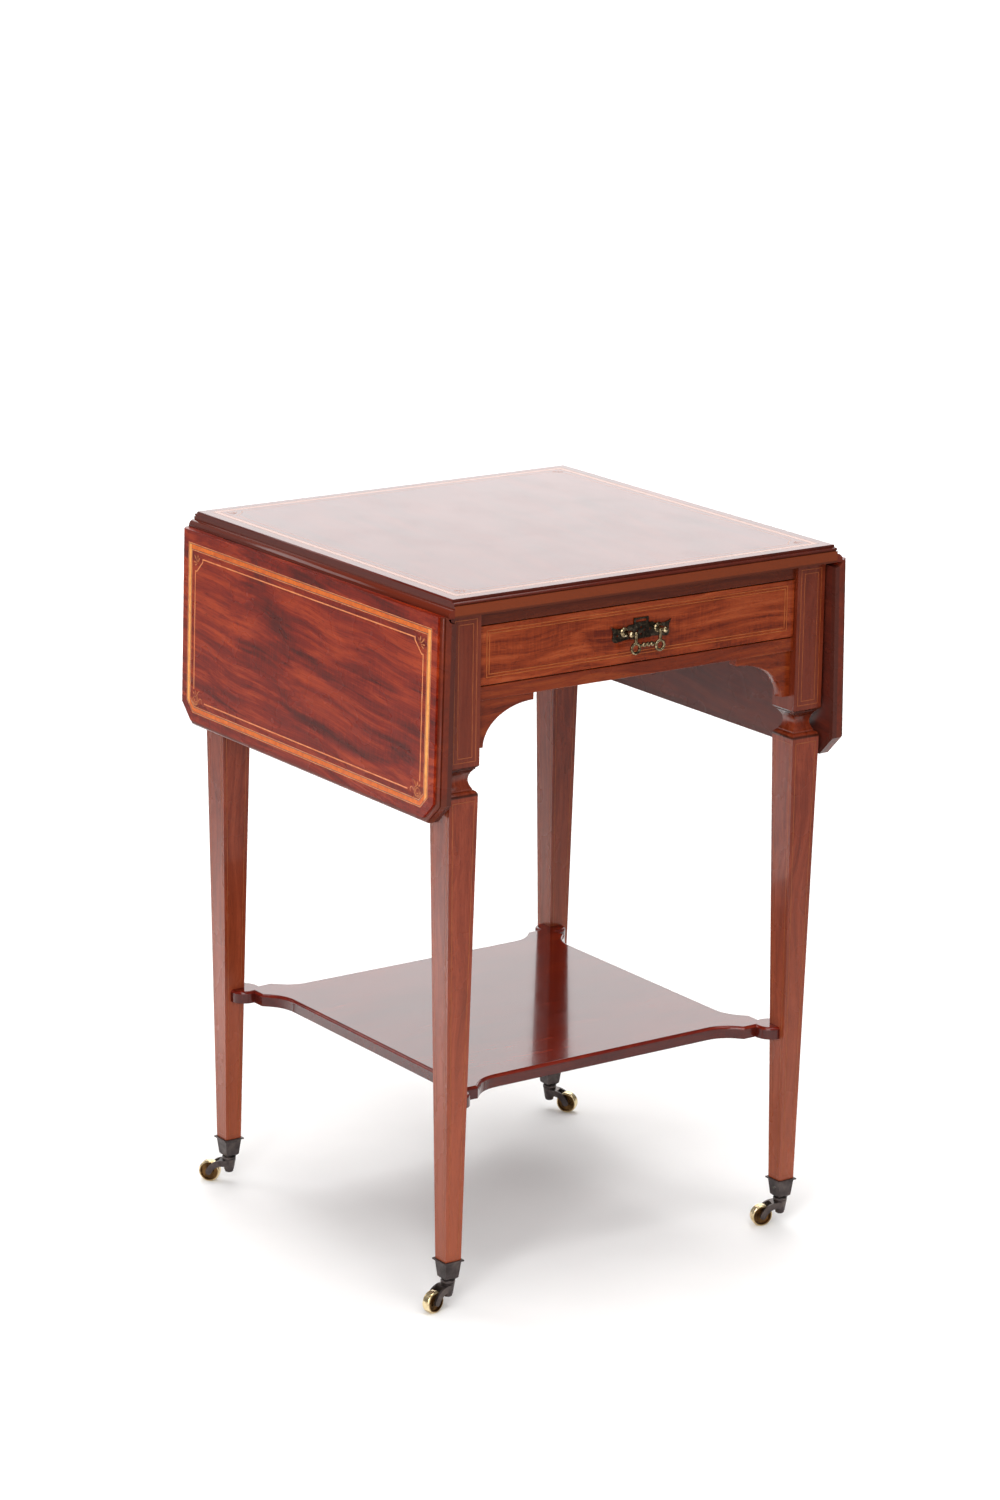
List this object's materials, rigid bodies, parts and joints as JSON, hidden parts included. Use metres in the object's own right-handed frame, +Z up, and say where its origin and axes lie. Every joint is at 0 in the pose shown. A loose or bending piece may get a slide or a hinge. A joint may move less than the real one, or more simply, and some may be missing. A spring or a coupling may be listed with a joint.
{
  "type": "drop-leaf lamp table",
  "caption": "Square inlaid mahogany lamp table with hinged drop leaves, a frieze drawer with a bail handle, tapered legs, a shaped undertier and brass castors.",
  "frame": {"origin": "on the floor, under the middle of the top", "axes": "+Z up, -Y towards someone opening the drawer, +X to the right of that person"},
  "size_m": [0.4908, 0.463, 0.711],
  "materials": {
    "mahogany": "French-polished red-brown mahogany, gloss",
    "satinwood": "polished golden satinwood banding",
    "boxwood": "polished pale boxwood stringing",
    "ebony": "polished black-dyed stringing",
    "lining_wood": "unpolished lining timber, satin",
    "antique_brass": "aged brass, dark in the recesses",
    "castor_bronze": "dark patinated cast brass",
    "wheel_brass": "brass worn bright on the tread",
    "steel": "plain steel, dulled"
  },
  "bodies": {
    "frame": {"back_rail": "mahogany", "castor_cup_screws": "steel", "castor_cups": "castor_bronze", "castor_spindles": "castor_bronze", "corner_brackets": "mahogany", "drawer_kickers": "lining_wood", "drawer_lower_rail": "mahogany", "drawer_runners": "lining_wood", "drawer_stops": "lining_wood", "drawer_top_rail": "mahogany", "fly_blocks": "lining_wood", "fly_pins": "steel", "hinge_fixed_flaps": "steel", "hinge_fixed_screws": "steel", "hinge_pins": "steel", "leg_back_left": "mahogany", "leg_back_right": "mahogany", "leg_front_left": "mahogany", "leg_front_right": "mahogany", "shelf": "mahogany", "shelf_dowels": "lining_wood", "side_rail_left": "mahogany", "side_rail_right": "mahogany", "top_banding": "satinwood", "top_dark_lines": "ebony", "top_panel": "mahogany", "top_screws": "steel", "top_stringing": "boxwood"},
    "castor_fork_back_left": {"castor_fork_back_left": "castor_bronze"},
    "castor_fork_back_right": {"castor_fork_back_right": "castor_bronze"},
    "castor_fork_front_left": {"castor_fork_front_left": "castor_bronze"},
    "castor_fork_front_right": {"castor_fork_front_right": "castor_bronze"},
    "castor_wheel_back_left": {"castor_wheel_back_left": "wheel_brass"},
    "castor_wheel_back_right": {"castor_wheel_back_right": "wheel_brass"},
    "castor_wheel_front_left": {"castor_wheel_front_left": "wheel_brass"},
    "castor_wheel_front_right": {"castor_wheel_front_right": "wheel_brass"},
    "drawer": {"drawer_back": "lining_wood", "drawer_bottom": "lining_wood", "drawer_front": "mahogany", "drawer_side_left": "lining_wood", "drawer_side_right": "lining_wood", "drawer_stringing": "boxwood", "handle_backplate": "antique_brass", "handle_nuts": "antique_brass", "handle_posts": "antique_brass"},
    "fly_bracket_left": {"fly_bracket_left": "lining_wood"},
    "fly_bracket_right": {"fly_bracket_right": "lining_wood"},
    "handle_bail": {"handle_bail": "antique_brass"},
    "leaf_left": {"leaf_banding_left": "satinwood", "leaf_dark_lines_left": "ebony", "leaf_hinge_flaps_left": "steel", "leaf_hinge_screws_left": "steel", "leaf_left": "mahogany", "leaf_stringing_left": "boxwood"},
    "leaf_right": {"leaf_banding_right": "satinwood", "leaf_dark_lines_right": "ebony", "leaf_hinge_flaps_right": "steel", "leaf_hinge_screws_right": "steel", "leaf_right": "mahogany", "leaf_stringing_right": "boxwood"}
  },
  "joints": [
    {"name": "leaf_right_hinge", "type": "hinge", "parent": "frame", "child": "leaf_right", "pos_m": [0.2265, 0, 0.696], "axis": [0, -1, 0], "range_deg": [0, 88.85]},
    {"name": "leaf_left_hinge", "type": "hinge", "parent": "frame", "child": "leaf_left", "pos_m": [-0.2265, 0, 0.696], "axis": [0, 1, 0], "range_deg": [0, 88.85]},
    {"name": "drawer_slide", "type": "slide", "parent": "frame", "child": "drawer", "axis": [0, -1, 0], "range_m": [0, 0.28]},
    {"name": "handle_swing", "type": "hinge", "parent": "drawer", "child": "handle_bail", "pos_m": [0, -0.2272, 0.65205], "axis": [-1, 0, 0], "range_deg": [-30, 95]},
    {"name": "fly_right_swing", "type": "hinge", "parent": "frame", "child": "fly_bracket_right", "pos_m": [0.2126, 0, 0.6675], "axis": [0, 0, 1], "range_deg": [0, 1.2]},
    {"name": "fly_left_swing", "type": "hinge", "parent": "frame", "child": "fly_bracket_left", "pos_m": [-0.2126, 0, 0.6675], "axis": [0, 0, -1], "range_deg": [0, 1.2]},
    {"name": "castor_swivel_front_left", "type": "hinge", "parent": "frame", "child": "castor_fork_front_left", "pos_m": [-0.205, -0.202, 0.02], "axis": [0, 0, 1], "continuous": true},
    {"name": "castor_roll_front_left", "type": "hinge", "parent": "castor_fork_front_left", "child": "castor_wheel_front_left", "pos_m": [-0.22505, -0.20626, 0.01115], "axis": [0.2079, -0.9781, 0], "continuous": true},
    {"name": "castor_swivel_front_right", "type": "hinge", "parent": "frame", "child": "castor_fork_front_right", "pos_m": [0.205, -0.202, 0.02], "axis": [0, 0, 1], "continuous": true},
    {"name": "castor_roll_front_right", "type": "hinge", "parent": "castor_fork_front_right", "child": "castor_wheel_front_right", "pos_m": [0.18529, -0.19635, 0.01115], "axis": [-0.2756, -0.9613, 0], "continuous": true},
    {"name": "castor_swivel_back_left", "type": "hinge", "parent": "frame", "child": "castor_fork_back_left", "pos_m": [-0.205, 0.202, 0.02], "axis": [0, 0, 1], "continuous": true},
    {"name": "castor_roll_back_left", "type": "hinge", "parent": "castor_fork_back_left", "child": "castor_wheel_back_left", "pos_m": [-0.21924, 0.21675, 0.01115], "axis": [-0.7193, -0.6947, 0], "continuous": true},
    {"name": "castor_swivel_back_right", "type": "hinge", "parent": "frame", "child": "castor_fork_back_right", "pos_m": [0.205, 0.202, 0.02], "axis": [0, 0, 1], "continuous": true},
    {"name": "castor_roll_back_right", "type": "hinge", "parent": "castor_fork_back_right", "child": "castor_wheel_back_right", "pos_m": [0.21705, 0.18542, 0.01115], "axis": [0.809, 0.5878, 0], "continuous": true}
  ]
}
